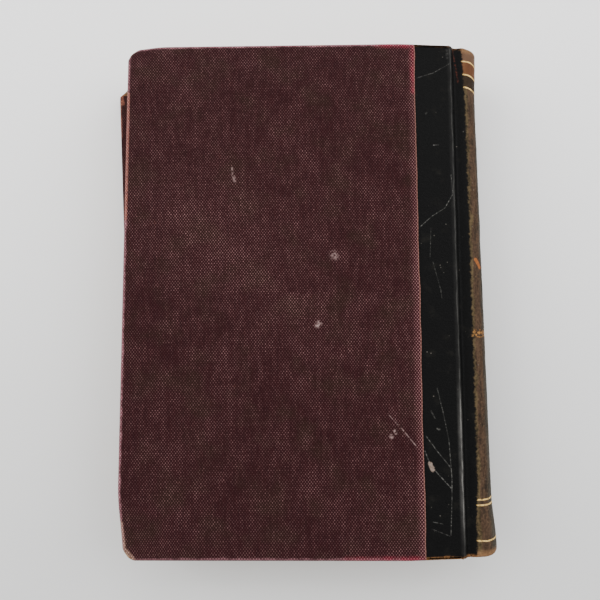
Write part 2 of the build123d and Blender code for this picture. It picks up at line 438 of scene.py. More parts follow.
def cloth_wear(s, place):
    """How far the threads are rubbed pale: streaks along both threads, and broad patches."""
    warp_streak = s.noise(s.scaled(place, (0.5, 0.12, 1.0)), 1.0, 3.0, 0.6)
    weft_streak = s.noise(s.scaled(place, (0.1, 0.6, 1.0)), 1.0, 3.0, 0.6)
    patches = s.noise(place, 9.0, 3.0, 0.55)
    broad = s.noise(place, 34.0, 3.0, 0.6)
    middle = s.line(place, (-34, 32), (-6, 8), 36.0)
    wear = s.times(s.step(warp_streak, 0.42, 0.68), 0.38)
    wear = s.add(wear, s.times(s.step(patches, 0.42, 0.66), 0.25))
    wear = s.add(wear, s.times(s.step(weft_streak, 0.45, 0.7), 0.22))
    wear = s.add(wear, s.times(s.step(broad, 0.36, 0.68), 0.25))
    return s.add(wear, s.times(middle, 0.28))


def cloth_edges(s, side, place, u, y, base, dots):
    """Paints the cloth's free edges pink, as rubbed wear and a painted highlight on the lit edges, wears
    its corners through, and reddens its ends.
    """
    from_fore = s.add(u, -FORE_U)
    height = s.math("ABSOLUTE", y)
    from_ends = s.math("SUBTRACT", HALF_HEIGHT, height)
    edge = s.math("MINIMUM", from_fore, from_ends)
    ragged = s.add(s.noise(place, 6.0, 4.0, 0.65), -0.5)
    patchy = s.step(s.noise(place, 1.2, 3.0), 0.3, 0.6, 0.35, 1.0)
    # Pink along the free edges: partly rubbed wear, partly a painted highlight where the edges catch the
    # light
    rubbed = s.step(s.add(edge, s.times(ragged, 1.6)), 1.5, 0.55)
    rubbed = s.times(s.times(rubbed, s.step(edge, -1.7, -0.4)), patchy)
    pink = s.mix(dots, colour(120, 74, 82), colour(190, 146, 150))
    strength = s.step(s.add(y, s.times(ragged, 6.0)), -93.5, -90.0, 0.45, 0.8)
    base = s.mix(s.times(rubbed, strength), base, pink)
    tan = marks(s, place, TAN_EDGES[side])
    tan = s.times(s.step(s.add(tan, s.times(ragged, 0.8)), 0.1, 0.6), patchy)
    tan_thread = s.mix(dots, colour(112, 62, 50), colour(176, 124, 104))
    frayed = s.mix(dots, colour(118, 88, 76), colour(178, 148, 134))
    tan_thread = s.mix(s.step(y, -66.0, -78.0), tan_thread, frayed)
    base = s.mix(s.times(tan, 0.75), base, tan_thread)
    red_ends = marks(s, place, CRIMSON_ENDS[side])
    red_ends = s.times(red_ends, s.step(ragged, -0.12, 0.1, 0.35, 1.0))
    base = s.paint(s.times(red_ends, 0.75), base, dots, (104, 10, 30), (190, 78, 100))
    past_u = s.math("MAXIMUM", s.add(s.times(u, -1.0), FORE_U + CORNER_RADIUS), 0.0)
    past_y = s.math("MAXIMUM", s.add(height, CORNER_RADIUS - HALF_HEIGHT), 0.0)
    around = s.math("SQRT", s.add(s.times(past_u, past_u), s.times(past_y, past_y)))
    sector = s.step(s.add(s.math("MINIMUM", past_u, past_y), s.times(ragged, 1.5)), 0.2, 2.0)
    lower = s.step(y, 0.0, -10.0, 0.45, 1.0)
    bare = s.step(s.add(around, s.times(ragged, 1.6)), 3.5, 4.3)
    bare = s.times(s.times(bare, sector), lower)
    fibre = s.noise(place, 0.7, 3.0)
    base = s.paint(bare, base, fibre, (104, 72, 46), (158, 122, 84))
    return base


# Marks of wear on each cloth, each (u1, y1, u2, y2, width, strength)
CRIMSON_ENDS = {
    "rear": (
        (34.0, 95.2, 47.6, 94.6, 2.8, 1.0),
        (47.3, 94.0, 47.6, 76.0, 2.0, 0.9),
        (20.0, -95.2, 47.6, -95.2, 2.8, 1.0),
        (-20.0, 95.6, 8.0, 95.6, 1.6, 0.6),
    ),
    "front": ((-8.0, 95.4, 30.0, 95.4, 1.8, 0.6), (10.0, -95.4, 40.0, -95.4, 1.8, 0.6)),
}
TAN_EDGES = {
    "rear": (
        (-60.75, 76.0, -60.75, 28.0, 1.2, 1.0),
        (8.4, 95.0, 14.1, 95.0, 1.2, 1.0),
        (-61.2, -82.0, -60.8, -91.0, 1.7, 1.0),
        (-60.8, -91.0, -57.6, -94.6, 1.9, 1.0),
        (-56.0, -95.4, -45.0, -95.6, 1.3, 0.9),
    ),
    "front": (
        (-61.6, 91.0, -61.6, 84.0, 2.4, 1.0),
        (-65.4, 93.0, -65.0, 88.0, 3.2, 1.0),
        (-63.9, 87.0, -63.9, 72.0, 1.2, 0.5),
        (-61.0, -20.0, -61.0, -50.0, 1.2, 0.7),
    ),
}
CLOTH_SCUFFS = {
    "rear": (
        (-21.0, 46.9, -20.6, 44.2, 0.6, 0.6),
        (-20.6, 44.2, -19.9, 41.9, 0.9, 0.5),
        (16.7, 13.7, 16.9, 13.3, 2.3, 0.5),
        (10.7, -12.0, 10.9, -11.6, 1.7, 0.95),
        (36.4, -51.8, 36.6, -52.1, 1.1, 0.7),
        (37.8, -50.0, 38.1, -50.7, 0.9, 0.8),
        (35.8, -44.4, 40.7, -49.7, 0.30, 0.4),
        (40.7, -49.7, 45.5, -55.6, 0.34, 0.6),
    ),
    "front": ((-12.0, 31.0, -7.0, 27.0, 0.5, 0.5), (22.0, -40.0, 22.6, -41.0, 1.4, 0.6)),
}


def cloth_material(side):
    """Worn maroon book cloth in a plain weave: its raised threads painted lighter as a painted highlight
    and the ground between them darker as painted shade, and paler where its threads are rubbed.
    """
    s = Surface(side + "_maroon_cloth")
    place = s.flat()
    u, y, _ = s.parts(place)
    dots, crossing = weave(s, place, u, y)
    tone = s.noise(s.scaled(place, (1.1, 0.2, 1.0)), 1.0, 2.0)
    grain = s.noise(place, 0.62, 2.0, 0.7)
    # The dark ground between the threads is painted shade, and the lit colour on the raised threads is a
    # painted highlight, stronger where they are rubbed pale
    deep = s.mix(tone, colour(25, 5, 8), colour(40, 12, 15))
    deep = s.mix(s.step(s.noise(place, 13.0, 3.0), 0.45, 0.7), deep, colour(32, 15, 12))
    lit = s.mix(grain, colour(92, 46, 48), colour(178, 136, 134))
    wear = cloth_wear(s, place)
    lit_and_rubbed_threads = s.times(s.times(dots, s.step(grain, 0.34, 0.66, 0.3, 1.0)), s.add(s.times(wear, 0.56), 0.09))
    base = s.mix(lit_and_rubbed_threads, deep, lit)
    base = cloth_edges(s, side, place, u, y, base, dots)
    # The cut edge beside the leather: pinker threads, then a fine pale edge
    waver = s.times(s.add(s.noise(place, 9.0, 2.0), -0.5), 1.6)
    near_seam = s.step(s.add(u, waver), SEAM_U - 3.0, SEAM_U - 0.2)
    near_seam = s.times(near_seam, s.step(y, 15.0, 55.0, 0.5, 0.32))
    base = s.paint(near_seam, base, dots, (52, 16, 22), (160, 116, 116))
    cut = s.step(u, SEAM_U - 0.05, SEAM_U + 0.25)
    base = s.paint(s.times(cut, 0.6), base, grain, (88, 44, 42), (160, 118, 104))
    scuffs = s.times(marks(s, place, CLOTH_SCUFFS[side]), s.step(s.noise(place, 1.0, 3.0), 0.36, 0.6))
    base = s.mix(s.times(scuffs, 0.75), base, colour(172, 146, 142))
    s.set("Specular IOR Level", 0.08)
    s.set("Sheen Weight", 0.02)
    s.set("Sheen Roughness", 0.5)
    height = s.add(s.times(crossing, 0.5), s.times(s.noise(place, 0.4, 3.0), 0.7))
    return s.finish(base, 0.86, height, 0.00009, 0.8)


# Scratches on the leather: width, strength, then their bends as (across, y)
LEATHER_SCRATCHES = (
    (0.24, 0.5, (53.2, -34.9), (55.1, -43.4), (56.9, -53.2), (57.6, -66.4), (57.4, -74.0), (56.7, -85.9)),
    (0.26, 0.65, (48.8, -51.8), (52.6, -57.0), (57.4, -63.0)),
    (0.28, 0.55, (48.3, -57.0), (50.3, -62.2), (53.4, -65.7), (57.5, -70.2)),
    (0.22, 0.35, (50.5, -81.5), (54.0, -82.2)),
    (0.20, 0.3, (50.1, -83.9), (56.3, -86.3)),
    (0.24, 0.4, (48.5, 81.0), (54.8, 82.9), (60.9, 86.4)),
    (0.26, 0.55, (48.5, 23.9), (53.0, 27.9), (57.8, 30.9), (60.9, 36.2), (60.4, 43.4)),
    (0.20, 0.35, (52.5, 23.5), (51.9, 12.7)),
    (0.20, 0.35, (52.9, 10.8), (55.5, 0.5), (55.8, -2.5)),
    (0.55, 0.6, (53.0, -49.2), (53.6, -49.5)),
    (0.55, 0.6, (51.7, 67.2), (52.0, 67.4)),
    (0.35, 0.5, (54.2, 54.9), (56.0, 54.9)),
    (0.40, 0.4, (50.8, -43.0), (52.2, -45.5)),
    (0.9, 0.15, (60.2, 92.4), (60.3, 89.0)),
)


def leather_scratches(s, place):
    lines = []
    for width, strength, *bends in LEATHER_SCRATCHES:
        for first, second in zip(bends, bends[1:]):
            lines.append((*first, *second, width, strength))
    beads = s.step(s.noise(place, 1.0, 3.0, 0.65), 0.44, 0.66, 0.12, 1.0)
    return s.times(s.times(marks(s, place, lines), beads), 0.6)


def faded_back(s, place, w, y, fine, ridge_s):
    """Brown of the worn back: tan flecks by the ridge, red-brown, then grey-brown at the crown."""
    streak = s.noise(s.scaled(place, (0.9, 0.16, 1.0)), 1.3, 5.0, 0.65)
    patch = s.noise(s.scaled(place, (1.0, 0.55, 1.0)), 4.0, 4.0, 0.6)
    tone = s.step(s.add(s.times(streak, 0.55), s.times(fine, 0.45)), 0.32, 0.68)
    past_ridge = s.add(w, s.add(s.times(s.add(patch, -0.5), 4.0), -ridge_s))
    tan = s.mix(tone, colour(30, 26, 18), colour(88, 74, 52))
    red_brown = s.mix(tone, colour(38, 29, 23), colour(78, 60, 46))
    grey_brown = s.mix(tone, colour(36, 32, 27), colour(66, 60, 50))
    brown = s.mix(s.step(past_ridge, 0.8, 1.8), tan, red_brown)
    brown = s.mix(s.step(past_ridge, 3.4, 6.0), brown, grey_brown)
    brown = s.mix(s.times(s.step(patch, 0.56, 0.7), 0.6), brown, colour(24, 22, 19))
    flecks = s.step(s.noise(place, 0.8, 3.0, 0.6), 0.6, 0.72)
    brown = s.mix(s.times(flecks, 0.4), brown, colour(118, 98, 74))
    low, middle, high = GILT_RULES[2], GILT_RULES[1], GILT_RULES[0]
    dark = s.times(s.step(y, low, low + 0.5), s.step(y, middle, middle - 0.5))
    brown = s.paint(s.times(dark, 0.85), brown, fine, (20, 16, 13), (50, 39, 30))
    red = s.step(y, middle, middle + 0.5)
    brown = s.paint(s.times(red, 0.8), brown, streak, (68, 41, 27), (114, 73, 47))
    return s.paint(s.step(y, high, high + 0.6), brown, streak, (66, 48, 36), (104, 79, 62))


def leather_material(ridge_s, crown_s):
    """Black leather, scratched on the board and faded to brown round the back, with gilt rules."""
    s = Surface("black_leather")
    place = s.flat()
    across, y, _ = s.parts(place)
    side = s.away(across, crown_s)
    w = s.math("SUBTRACT", crown_s, side)
    blotch = s.noise(place, 6.0, 4.0, 0.6)
    fine = s.noise(place, 0.9, 4.0, 0.6)
    black = s.mix(fine, colour(8, 8, 8), colour(17, 17, 17))
    black = s.mix(s.step(blotch, 0.55, 0.8), black, colour(24, 23, 21))
    ragged = s.times(s.add(s.noise(place, 2.2, 5.0, 0.75), -0.5), 3.6)
    bow = s.step(s.math("ABSOLUTE", y), 62.0, 92.0, 0.0, 0.8)
    faded = s.step(s.add(w, s.add(ragged, bow)), ridge_s, ridge_s + 0.8)
    dip = s.times(s.step(w, ridge_s - 0.5, ridge_s + 8.5, 0.0, 1.5), s.step(y, 0.0, 40.0))
    y_rule = s.add(y, dip)
    base = s.mix(faded, black, faded_back(s, place, w, y_rule, fine, ridge_s))
    # Board edge beside the joint: a painted highlight along the edge with grey wear, most of all towards
    # the tail
    waver = s.times(s.add(s.noise(s.scaled(place, (0.0, 0.1, 1.0)), 1.0, 2.0), -0.5), 1.0)
    board_edge_highlight_and_wear = s.step(s.away(s.add(w, waver), BOARD_U + 0.1), 0.36, 0.06)
    strongest = s.times(s.step(y, -28.0, -46.0), s.step(y, -92.0, -72.0))
    board_edge_highlight_and_wear = s.times(board_edge_highlight_and_wear, s.add(s.times(strongest, 0.4), 0.12))
    broken = s.noise(s.scaled(place, (1.0, 0.3, 1.0)), 1.4, 3.0)
    board_edge_highlight_and_wear = s.times(board_edge_highlight_and_wear, s.step(broken, 0.36, 0.62, 0.3, 1.0))
    base = s.mix(board_edge_highlight_and_wear, base, colour(132, 130, 126))
    # A wider, softer painted highlight along the same board edge
    soft = s.step(s.math("ABSOLUTE", s.add(w, -BOARD_U)), 1.5, 0.2)
    soft = s.times(soft, s.add(s.times(strongest, 0.26), 0.06))
    base = s.mix(s.times(soft, s.step(blotch, 0.3, 0.7, 0.4, 1.0)), base, colour(104, 102, 99))
    # A crack in the joint at the head, and brown leather showing along the tail edge
    crack = s.line(place, (BOARD_U + 2.2, 95.5), (BOARD_U + 4.4, 80.0), 0.5)
    base = s.mix(s.times(s.times(crack, 0.5), s.step(fine, 0.45, 0.6)), base, colour(98, 48, 36))
    ends = s.add(s.math("ABSOLUTE", y), s.times(s.add(blotch, -0.5), 3.0))
    worn_end = s.times(s.step(ends, HALF_HEIGHT - 1.6, HALF_HEIGHT - 0.2), s.step(fine, 0.36, 0.56))
    worn_end = s.times(worn_end, s.step(y, 20.0, -20.0, 0.35, 1.0))
    base = s.paint(s.times(worn_end, 0.9), base, fine, (96, 62, 34), (160, 112, 68))
    cap = s.times(s.step(ends, HALF_HEIGHT - 4.0, HALF_HEIGHT - 1.0), faded)
    base = s.paint(s.times(cap, 0.85), base, fine, (78, 54, 34), (140, 106, 76))
    scratches = leather_scratches(s, place)
    base = s.mix(scratches, base, colour(150, 148, 142))
    scuff = s.line(place, (50.0, -61.4), (50.9, -63.6), 1.5)
    scuff = s.times(s.step(s.add(scuff, s.times(fine, 0.9)), 0.75, 1.25), 0.8)
    base = s.paint(s.times(scuff, 0.8), base, fine, (84, 58, 42), (176, 160, 148))
    specks = s.times(s.step(s.cells(place, 2.3), 0.13, 0.05), s.step(blotch, 0.52, 0.64))
    base = s.mix(s.times(specks, 0.45), base, colour(120, 114, 106))
    torn = s.line(place, (ridge_s + 2.6, 12.0), (ridge_s + 4.6, 9.4), 1.6)
    torn = s.times(s.step(s.add(torn, s.times(fine, 0.6)), 0.7, 1.0), 0.8)
    base = s.paint(torn, base, fine, (96, 50, 24), (172, 104, 54))
    band = s.times(s.step(y, -17.0, -16.2), s.step(y, -13.4, -14.2))
    base = s.mix(s.times(s.times(band, faded), s.step(fine, 0.45, 0.65)), base, colour(150, 104, 54))
    gilt = gilt_mask(s, y_rule, faded, fine)
    base = s.paint(gilt, base, fine, (170, 128, 62), (236, 204, 134))
    s.set("Metallic", s.times(gilt, 0.4))
    s.set("Specular IOR Level", 0.035)
    grain = s.add(s.times(s.cells(place, 0.55), 0.8), s.times(s.noise(place, 1.6, 4.0), 0.8))
    grain = s.math("SUBTRACT", grain, s.times(scratches, 0.6))
    return s.finish(base, s.step(blotch, 0.3, 0.75, 0.44, 0.6), grain, 0.00012, 0.6)


GILT_RULES = (88.2, 83.0, 78.0, -74.3, -76.2, -88.3)
GILT_WIDTH = 0.36


def gilt_mask(s, y, faded, fine):
    """Worn gilt rules across the back."""
    masks = []
    for place in GILT_RULES:
        masks.append(s.step(s.away(y, place), GILT_WIDTH, GILT_WIDTH * 0.45))
    rules = s.most(*masks)
    return s.times(s.times(rules, faded), s.step(fine, 0.34, 0.5, 0.25, 1.0))


def page_material():
    """Edges of old leaves: thin lines of paper, toned and dusty."""
    s = Surface("page_edges")
    place = s.placed()
    leaves = s.noise(s.scaled(place, (12.0, 12.0, 7000.0)), 1.0, 2.0, 0.6)
    gatherings = s.noise(s.scaled(place, (4.0, 4.0, 800.0)), 1.0, 1.0)
    stain = s.noise(place, 0.02, 4.0, 0.6)
    base = s.mix(leaves, colour(150, 126, 90), colour(226, 206, 168))
    base = s.mix(s.times(s.step(gatherings, 0.55, 0.75), 0.35), base, colour(140, 112, 76))
    base = s.mix(s.times(s.step(stain, 0.45, 0.7), 0.35), base, colour(166, 132, 88))
    s.set("Specular IOR Level", 0.2)
    return s.finish(base, 0.9, leaves, 0.0001, 0.7)


def paper_material(name, pale, toned):
    """Old paper, foxed and toned."""
    s = Surface(name)
    place = s.placed()
    cloud = s.noise(place, 0.035, 4.0, 0.6)
    fibre = s.noise(s.scaled(place, (1.0, 0.35, 1.0)), 0.0006, 3.0)
    base = s.mix(s.step(cloud, 0.35, 0.7), pale, toned)
    foxing = s.step(s.cells(place, 0.011), 0.12, 0.03)
    base = s.mix(s.times(foxing, s.step(cloud, 0.4, 0.6)), base, colour(150, 108, 66))
    base = s.mix(s.times(fibre, 0.12), base, colour(120, 96, 66))
    s.set("Specular IOR Level", 0.2)
    return s.finish(base, 0.88, fibre, 0.00003, 0.6)


def board_material():
    """Grey-brown millboard with short fibres."""
    s = Surface("millboard")
    place = s.placed()
    fibre = s.noise(s.scaled(place, (1.0, 1.0, 4.0)), 0.0008, 4.0, 0.65)
    cloud = s.noise(place, 0.01, 3.0)
    base = s.mix(fibre, colour(118, 94, 66), colour(178, 150, 112))
    base = s.mix(s.times(cloud, 0.3), base, colour(110, 90, 70))
    return s.finish(base, 0.92, fibre, 0.0001, 0.8)


def mull_material():
    """Open-weave cotton lining, stiff with glue."""
    s = Surface("mull")
    place = s.flat()
    u, y, _ = s.parts(place)
    warp = s.math("ABSOLUTE", s.math("SINE", s.times(u, pi / 0.9)))
    weft = s.math("ABSOLUTE", s.math("SINE", s.times(y, pi / 0.9)))
    threads = s.math("MINIMUM", warp, weft)
    cloud = s.noise(place, 6.0, 3.0)
    base = s.mix(s.step(threads, 0.2, 0.6), colour(206, 192, 158), colour(140, 112, 74))
    base = s.mix(s.times(cloud, 0.4), base, colour(150, 118, 74))
    return s.finish(base, 0.85, s.times(threads, -1.0), 0.0002, 0.8)


def band_material():
    """Two faded thread colours sewn in turn."""
    s = Surface("band_thread")
    place = s.flat()
    along, _, _ = s.parts(place)
    turn = s.math("SINE", s.times(along, pi / 1.6))
    fibre = s.noise(s.scaled(place, (5.0, 0.6, 1.0)), 1.0, 3.0)
    base = s.mix(s.step(turn, -0.15, 0.15), colour(196, 176, 134), colour(122, 62, 50))
    base = s.mix(s.times(fibre, 0.35), base, colour(110, 86, 58))
    s.set("Sheen Weight", 0.2)
    return s.finish(base, 0.7, fibre, 0.0001, 0.7)


# Pieces
def faces_outward(sign, rows=slice(20, 60), columns=slice(20, 60)):
    """Tests that the middle of a grid faces up (sign 1) or down (sign -1)."""
    return lambda normals: normals[rows, columns, 2].mean() * sign > 0


def corner_wear(nu, ny, side):
    """How much of its reach a cover's corner keeps, in each direction from the corner's centre."""
    diagonal = np.clip(2 * np.abs(nu * ny), 0, 1) ** 0.8
    worn = np.where((nu < 0) & (ny > 0), CORNER_WEAR[side], CORNER_WEAR["rear"])
    return 1 - worn * diagonal


def worn_ends(u, y):
    """Draws the ends of the covers and the spine in beside the headcap and tailcap."""
    on_board = smooth_step(u, SEAM_U - 8.0, BOARD_U)
    by_spine = 0.6 * on_board + 0.4 * smooth_step(u, BOARD_U - 4.0, RIDGE_U + 2.0)
    drop = HEADCAP_DROP * by_spine * smooth_step(y, HALF_HEIGHT - HEADCAP_REACH, HALF_HEIGHT)
    rise = TAILCAP_RISE * by_spine * smooth_step(y, TAILCAP_REACH - HALF_HEIGHT, -HALF_HEIGHT)
    return y - drop + rise


def blunted(u, y, side):
    """Draws the corners at a cover's fore edge in, and its ends beside the spine."""
    from_corner = np.hypot(u - FORE_U, HALF_HEIGHT - np.abs(y))
    drop = HEAD_CORNER_DROP[side] * smooth_step(from_corner, HEAD_CORNER_REACH, 0.0) * (y > 0)
    pull = TAIL_CORNER_PULL[side] * smooth_step(from_corner, TAIL_CORNER_REACH, 0.0) * (y < 0)
    return u + pull, worn_ends(u, y) - drop


def worn_board(side, sign, material):
    """A cover's board, with the same worn corners and ends as its cloth."""
    core = CORNER_RADIUS
    radius = core - BOARD_OUTER
    turn = np.radians(np.arange(90, 181, 6))
    head = np.stack([np.cos(turn), np.sin(turn)], axis=1)
    tail = head[::-1] * [1, -1]
    outline = []
    for directions, core_y in ((head, HALF_HEIGHT - core), (tail, core - HALF_HEIGHT)):
        kept = corner_wear(directions[:, 0], directions[:, 1], side)[:, None]
        outline.append(directions * radius * kept + [FORE_U + core, core_y])
    limit = HALF_HEIGHT - BOARD_OUTER
    near_spine = BOARD_U - BOARD_OUTER
    along_tail = spaced(FORE_U + core, near_spine, 4.0)
    along_spine = spaced(-limit, limit, 4.0)
    along_head = spaced(near_spine, FORE_U + core, 4.0)
    outline.append(np.stack([along_tail, 0 * along_tail - limit], axis=1)[1:])
    outline.append(np.stack([0 * along_spine + near_spine, along_spine], axis=1)[1:])
    outline.append(np.stack([along_head, 0 * along_head + limit], axis=1)[1:-1])
    ring = np.concatenate(outline)
    depths = np.linspace(BOARD_OUTER, BOARD_INNER, 6)
    random = np.random.RandomState(3)
    rings = []
    for depth in depths:
        rough = random.uniform(-0.05, 0.0, len(ring))[:, None]
        shrunk = ring * (1 + rough * 0.01)
        ring_u, ring_y = blunted(shrunk[:, 0], shrunk[:, 1], side)
        rings.append(cock(ring_u, ring_y, sign * (MIDDLE - depth) + 0 * ring_u, sign))
    upward = rings[::-1] if sign > 0 else rings
    made = stacked_rings(side + "_worn_board", np.array(upward), material)
    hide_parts(side + "_board")
    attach(made, side + "_cover")


def cover_cloth(side, sign, material, seed):
    """Cloth of one cover: one sheet over the board, wrapped round three edges and mitred inside."""
    beyond_lines = wrap_lines(EDGE_RADIUS, COVER_DEPTH, TURN_IN - EDGE_RADIUS)
    core = CORNER_RADIUS
    face_u = [FORE_U + EDGE_RADIUS - beyond_lines[::-1]]
    face_u.append(spaced(FORE_U + EDGE_RADIUS, FORE_U + 6, 0.55))
    face_u.append(spaced(FORE_U + 6, SEAM_U - 2.5, 1.6)[1:])
    face_u.append(spaced(SEAM_U - 2.5, SEAM_U + 0.45, 0.37)[1:])
    u_lines = np.concatenate(face_u)
    half_y = np.concatenate([
        spaced(0, HALF_HEIGHT - 6, 1.6),
        spaced(HALF_HEIGHT - 6, HALF_HEIGHT - EDGE_RADIUS, 0.55)[1:],
        HALF_HEIGHT - EDGE_RADIUS + beyond_lines,
    ])
    y_lines = np.concatenate([-half_y[:0:-1], half_y])
    u, y = np.meshgrid(u_lines, y_lines, indexing="ij")
    core_u = np.maximum(u, FORE_U + core)
    core_y = np.clip(y, -(HALF_HEIGHT - core), HALF_HEIGHT - core)
    du, dy = u - core_u, y - core_y
    away = np.hypot(du, dy)
    safe = np.maximum(away, 1e-9)
    nu, ny = du / safe, dy / safe
    past = away - (core - EDGE_RADIUS)
    # Mitred turn-ins: each stops at the diagonal from the corner
    along_end = np.minimum(u - FORE_U, TURN_IN)
    along_fore = np.minimum(HALF_HEIGHT - np.abs(y), TURN_IN)
    limit = np.where(np.abs(dy) < 1e-9, along_fore, along_end)
    limit = np.where((np.abs(dy) > 1e-9) & (np.abs(du) > 1e-9), core * 0.97, limit)
    limit = np.maximum(limit, core * 0.97) - EDGE_RADIUS
    beyond, depth = edge_wrap(np.maximum(past, 0), EDGE_RADIUS, COVER_DEPTH, limit)
    on_face = past <= 0
    reach = core - EDGE_RADIUS + beyond
    kept = corner_wear(nu, ny, side)
    reach = np.where(on_face, away, reach) * kept
    place_u = core_u + nu * reach
    place_y = core_y + ny * reach
    face = smooth_step(-past, -1.0, 1.5)
    swell = 0.05 * value_noise(u, y, 24, seed) + 0.025 * value_noise(u, y, 5, seed + 1)
    rise = 0.30 * smooth_step(u, SEAM_U - 1.6, SEAM_U - 0.2)
    corner = np.hypot(u - FORE_U, HALF_HEIGHT - np.abs(y))
    blunt = 0.35 * smooth_step(corner, 5.0, 2.0) * (1 + 0.5 * value_noise(u, y, 1.5, seed + 2))
    outward = (swell + 0.05) * face + rise * face - blunt
    fray = 0.07 * value_noise(0 * u, y, 0.9, seed + 3) + 0.22 * value_noise(0 * u, y, 9, seed + 4)
    place_u = place_u + fray * smooth_step(u, SEAM_U - 1.0, SEAM_U + 0.3)
    level = MIDDLE - depth + outward * np.where(depth < COVER_DEPTH / 2, 1, 0)
    place_u, place_y = blunted(place_u, place_y, side)
    grid = cock(place_u, place_y, sign * level, sign)
    flat = np.stack([u, y], axis=-1)
    name = side + "_cover_cloth"
    made = thick_sheet(name, grid, flat, COVERING, material, faces_outward(sign, slice(25, 60)))
    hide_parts(side + "_cloth")
    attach(made, side + "_cover")


def leather_profile():
    """The rear half of the leather across the book, from under the cloth to the crown of the back."""
    top = MIDDLE
    groove_u = BOARD_U + GROOVE_PLACE
    bottom = MIDDLE - GROOVE_DEPTH
    fall_u = BOARD_U + 0.4 * GROOVE_PLACE
    rise_u = groove_u + 0.4 * (RIDGE_U - groove_u)
    strip = [(u, top) for u in spaced(SEAM_U - 0.8, BOARD_U, 1.2)]
    fall = bezier([(BOARD_U, top), (fall_u, top), (fall_u, bottom), (groove_u, bottom)], 10)
    rise = bezier([(groove_u, bottom), (rise_u, bottom), (rise_u, RIDGE_HALF), (RIDGE_U, RIDGE_HALF)], 12)
    handle = (RIDGE_U + SPINE_SQUARENESS * SPINE_BULGE, RIDGE_HALF)
    crown = (RIDGE_U + SPINE_BULGE, SPINE_SQUARENESS * RIDGE_HALF)
    back = bezier([(RIDGE_U, RIDGE_HALF), handle, crown, (RIDGE_U + SPINE_BULGE, 0)], 26)
    return np.concatenate([strip, fall, rise, back])


def profile_lengths(profile):
    """Distance along the profile, equal to u on the flat strip."""
    steps = np.hypot(*np.diff(profile, axis=0).T)
    return profile[0, 0] + np.concatenate([[0], np.cumsum(steps)])


def profile_normals(profile):
    """Unit directions outward from the profile."""
    tangent = np.gradient(profile, axis=0)
    tangent /= np.linalg.norm(tangent, axis=1, keepdims=True)
    return np.stack([-tangent[:, 1], tangent[:, 0]], axis=1)


def leather_lines(profile):
    """Place, depth and flat place of the leather along the book, with its turn-ins at both ends."""
    on_back = smooth_step(profile[:, 0], BOARD_U - 0.4, BOARD_U + 1.2)
    fold_depth = COVER_DEPTH * (1 - on_back) + JOINT_FOLD_DEPTH * on_back
    radius = np.minimum(EDGE_RADIUS, fold_depth / 2)
    near_end = HALF_HEIGHT - 8
    face_y = np.concatenate([spaced(0, near_end, 1.3), spaced(near_end, HALF_HEIGHT, 0.6)[1:-1]])
    # The first bend, the edge, the second bend and the turn-in, as levels from 0 to 4
    levels = [np.linspace(0, 1, 5), [1.5], np.linspace(2, 3, 5), np.linspace(3, 4, 7)[1:]]
    columns = []
    flats = []
    quarter = pi * radius / 2
    straight = fold_depth - 2 * radius
    ends = np.cumsum([0 * radius, quarter, straight, quarter, 0 * radius + LEATHER_TURN_IN], axis=0)
    for y in face_y:
        columns.append((0 * radius + y, 0 * radius))
        flats.append(0 * radius + y)
    for level in np.concatenate(levels):
        distance = np.array([np.interp(level, range(5), column) for column in ends.T])
        beyond, depth = edge_wrap(distance, radius, fold_depth, LEATHER_TURN_IN)
        columns.append((HALF_HEIGHT - radius + beyond, depth))
        flats.append(HALF_HEIGHT - radius + distance)
    upper_y = np.array([column[0] for column in columns]).T
    upper_depth = np.array([column[1] for column in columns]).T
    upper_flat = np.array(flats).T
    y = np.concatenate([-upper_y[:, :0:-1], upper_y], axis=1)
    depth = np.concatenate([upper_depth[:, :0:-1], upper_depth], axis=1)
    flat_y = np.concatenate([-upper_flat[:, :0:-1], upper_flat], axis=1)
    return y, depth, flat_y


def cap_flare(profile, y, flat_y):
    """How far the back's leather stands out by head and tail: it flares, then rounds off."""
    round_back = smooth_step(profile[:, 0], RIDGE_U - 0.5, RIDGE_U + 3.0)[:, None]
    widest = np.where(flat_y > 0, 0.7, 1.0)
    flare = widest * smooth_step(np.abs(flat_y), HALF_HEIGHT - 22, HALF_HEIGHT - 3)
    cap_round = np.where(flat_y > 0, 2.4, 1.6)
    into_cap = np.clip((np.abs(y) - (HALF_HEIGHT - cap_round)) / cap_round, 0, 1)
    return (flare - 0.8 * cap_round * (1 - np.sqrt(1 - 0.98 * into_cap**2))) * round_back


def leather_half(side, sign, material):
    """One half of the leather, which meets the other along the crown of the back."""
    profile = leather_profile()
    length = profile_lengths(profile)
    crown_s = length[-1]
    normal = profile_normals(profile)
    y, depth, flat_y = leather_lines(profile)
    flare = cap_flare(profile, y, flat_y)
    y = worn_ends(profile[:, :1], y)
    slip = smooth_step(profile[:, 0], RIDGE_U - 0.5, RIDGE_U + 7.0)[:, None]
    y = y - BACK_SLIP * slip * (1 + BACK_SLIP_GROWTH * y)
    along = length if sign > 0 else 2 * crown_s - length
    s_grid = np.broadcast_to(along[:, None], y.shape)
    uneven = 0.10 * value_noise(s_grid, flat_y, 9, 31) + 0.05 * value_noise(s_grid, flat_y, 2.5, 32)
    loose = smooth_step(profile[:, 0], BOARD_U - 0.5, BOARD_U + 0.8)[:, None]
    offset = flare + uneven * loose - depth
    under_cloth = 0.12 * smooth_step(profile[:, 0], SEAM_U + 0.5, SEAM_U - 0.2)[:, None]
    u = profile[:, :1] + normal[:, :1] * offset
    v = profile[:, 1:] + normal[:, 1:] * (offset - under_cloth)
    share = np.where(profile[:, 0] < RIDGE_U, 1.0, np.clip(profile[:, 1] / RIDGE_HALF, 0, 1))[:, None]
    grid = cock(u, y, sign * v, sign * np.broadcast_to(share, y.shape))
    uv = np.stack([s_grid, flat_y], axis=-1)
    name = side + "_half_leather"
    made = thick_sheet(name, grid, uv, COVERING, material, faces_outward(sign, slice(2, 9)))
    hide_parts("spine_leather")
    start = cock(RIDGE_U + 0.3, 0.0, sign * RIDGE_HALF, sign)
    end = cock(RIDGE_U - 1.6, 0.0, sign * RIDGE_HALF, sign)
    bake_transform(made)


